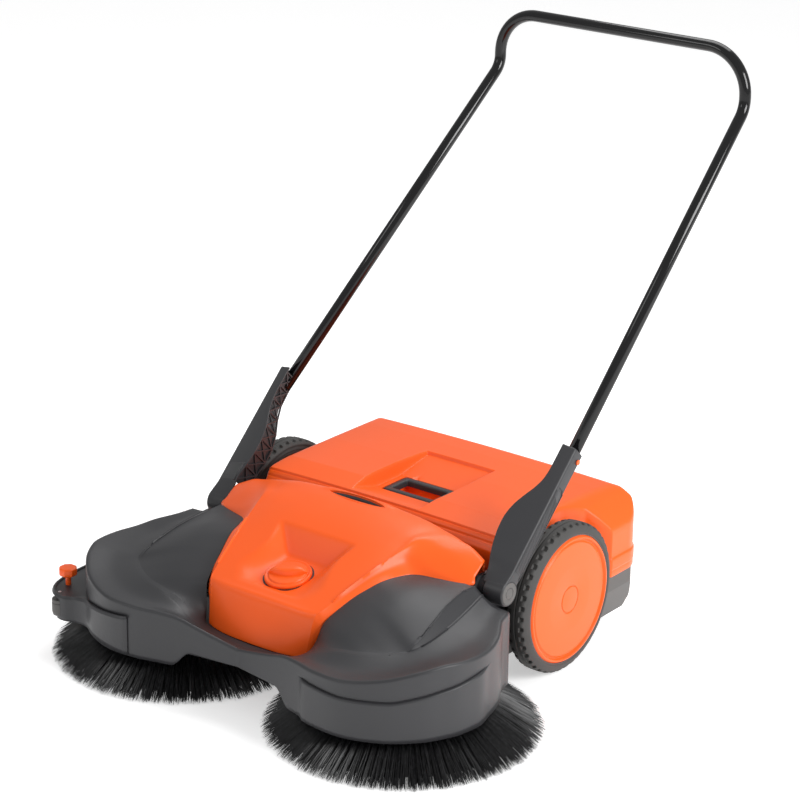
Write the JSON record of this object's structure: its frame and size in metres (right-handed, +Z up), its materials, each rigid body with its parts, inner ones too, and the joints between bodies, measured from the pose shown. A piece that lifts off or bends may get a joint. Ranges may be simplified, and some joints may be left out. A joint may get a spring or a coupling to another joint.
{
  "type": "walk behind sweeper",
  "caption": "Push sweeper with disc brushes at the front, side wheels that drive them by belts, a lift-out hopper behind and a tubular folding push handle.",
  "frame": {"origin": "on the floor under the middle of the machine's outer box", "axes": "+Z up, the front with the brushes towards -Y, X across the machine"},
  "size_m": [0.9702, 1.2062, 0.999],
  "materials": {
    "orange_plastic": "moulded, satin gloss",
    "dark_plastic": "moulded, satin",
    "grey_plastic": "moulded, satin",
    "pulley_plastic": "moulded, plain",
    "black_tube": "gloss black powder coat",
    "tyre_rubber": "matt rubber",
    "belt_rubber": "matt round belt",
    "bristle": "nylon bristle",
    "steel": "zinc plated",
    "bearing_metal": "as cast"
  },
  "bodies": {
    "chassis": {"brush_shroud": "dark_plastic", "front_cover": "orange_plastic", "chassis_deck": "dark_plastic", "debris_ramp": "dark_plastic", "bearing_bolts": "steel", "side_plate_left": "dark_plastic", "side_plate_right": "dark_plastic", "pivot_pin_left": "steel", "pivot_pin_right": "steel", "wheel_axle_left": "steel", "wheel_axle_right": "steel", "brush_bearing_left": "bearing_metal", "brush_bearing_right": "bearing_metal", "drive_belt_left": "belt_rubber", "drive_belt_right": "belt_rubber", "roller_pin": "steel"},
    "hopper": {"hopper_lid": "orange_plastic", "hopper_tub": "grey_plastic", "carry_handle": "dark_plastic"},
    "handle": {"handle_tube": "black_tube", "handle_arm_left": "dark_plastic", "handle_arm_right": "dark_plastic", "pivot_cap_left": "grey_plastic", "pivot_cap_right": "grey_plastic", "tube_pins": "orange_plastic"},
    "height_knob": {"height_knob": "orange_plastic", "knob_stem": "pulley_plastic"},
    "hold_down": {"plunger_button": "orange_plastic", "plunger_stem": "orange_plastic", "plunger_foot": "orange_plastic"},
    "guide_roller": {"guide_roller": "grey_plastic"},
    "wheel_left": {"tyre_left": "tyre_rubber", "wheel_core_left": "grey_plastic", "wheel_disc_left": "orange_plastic", "wheel_cap_left": "orange_plastic", "wheel_pulley_left": "pulley_plastic", "wheel_bush_left": "pulley_plastic"},
    "brush_left": {"brush_plate_left": "pulley_plastic", "bristles_left": "bristle", "brush_spindle_left": "steel", "brush_pulley_left": "pulley_plastic"},
    "wheel_right": {"tyre_right": "tyre_rubber", "wheel_core_right": "grey_plastic", "wheel_disc_right": "orange_plastic", "wheel_cap_right": "orange_plastic", "wheel_pulley_right": "pulley_plastic", "wheel_bush_right": "pulley_plastic"},
    "brush_right": {"brush_plate_right": "pulley_plastic", "bristles_right": "bristle", "brush_spindle_right": "steel", "brush_pulley_right": "pulley_plastic"}
  },
  "joints": [
    {"name": "handle_fold", "type": "hinge", "parent": "chassis", "child": "handle", "pos_m": [0, -0.187, 0.2042], "axis": [1, 0, 0], "range_deg": [0, 62]},
    {"name": "hopper_lift", "type": "slide", "parent": "chassis", "child": "hopper", "axis": [0, 0, 1], "range_m": [0, 0.2]},
    {"name": "brush_left_spin", "type": "hinge", "parent": "chassis", "child": "brush_left", "pos_m": [-0.2438, -0.3619, 0.07], "axis": [0, 0, 1], "continuous": true},
    {"name": "brush_right_spin", "type": "hinge", "parent": "chassis", "child": "brush_right", "pos_m": [0.2438, -0.3619, 0.07], "axis": [0, 0, 1], "continuous": true},
    {"name": "wheel_left_spin", "type": "hinge", "parent": "chassis", "child": "wheel_left", "pos_m": [-0.318, -0.0143, 0.1357], "axis": [1, 0, 0], "continuous": true},
    {"name": "wheel_right_spin", "type": "hinge", "parent": "chassis", "child": "wheel_right", "pos_m": [0.318, -0.0143, 0.1357], "axis": [1, 0, 0], "continuous": true},
    {"name": "knob_turn", "type": "hinge", "parent": "chassis", "child": "height_knob", "pos_m": [0, -0.37, 0.2068], "axis": [0, -0.2079, 0.9781], "range_deg": [0, 180]},
    {"name": "plunger_press", "type": "slide", "parent": "chassis", "child": "hold_down", "axis": [0, 0, -1], "range_m": [0, 0.015], "stiffness_N_per_m": 300, "springref_m": -0.01},
    {"name": "roller_spin", "type": "hinge", "parent": "chassis", "child": "guide_roller", "pos_m": [-0.402, -0.517, 0.087], "axis": [0, 0, 1], "continuous": true}
  ],
  "couplings": [
    {"joint": "wheel_right_spin", "follows": "brush_right_spin", "ratio": -0.71667},
    {"joint": "wheel_left_spin", "follows": "brush_left_spin", "ratio": 0.71667}
  ]
}
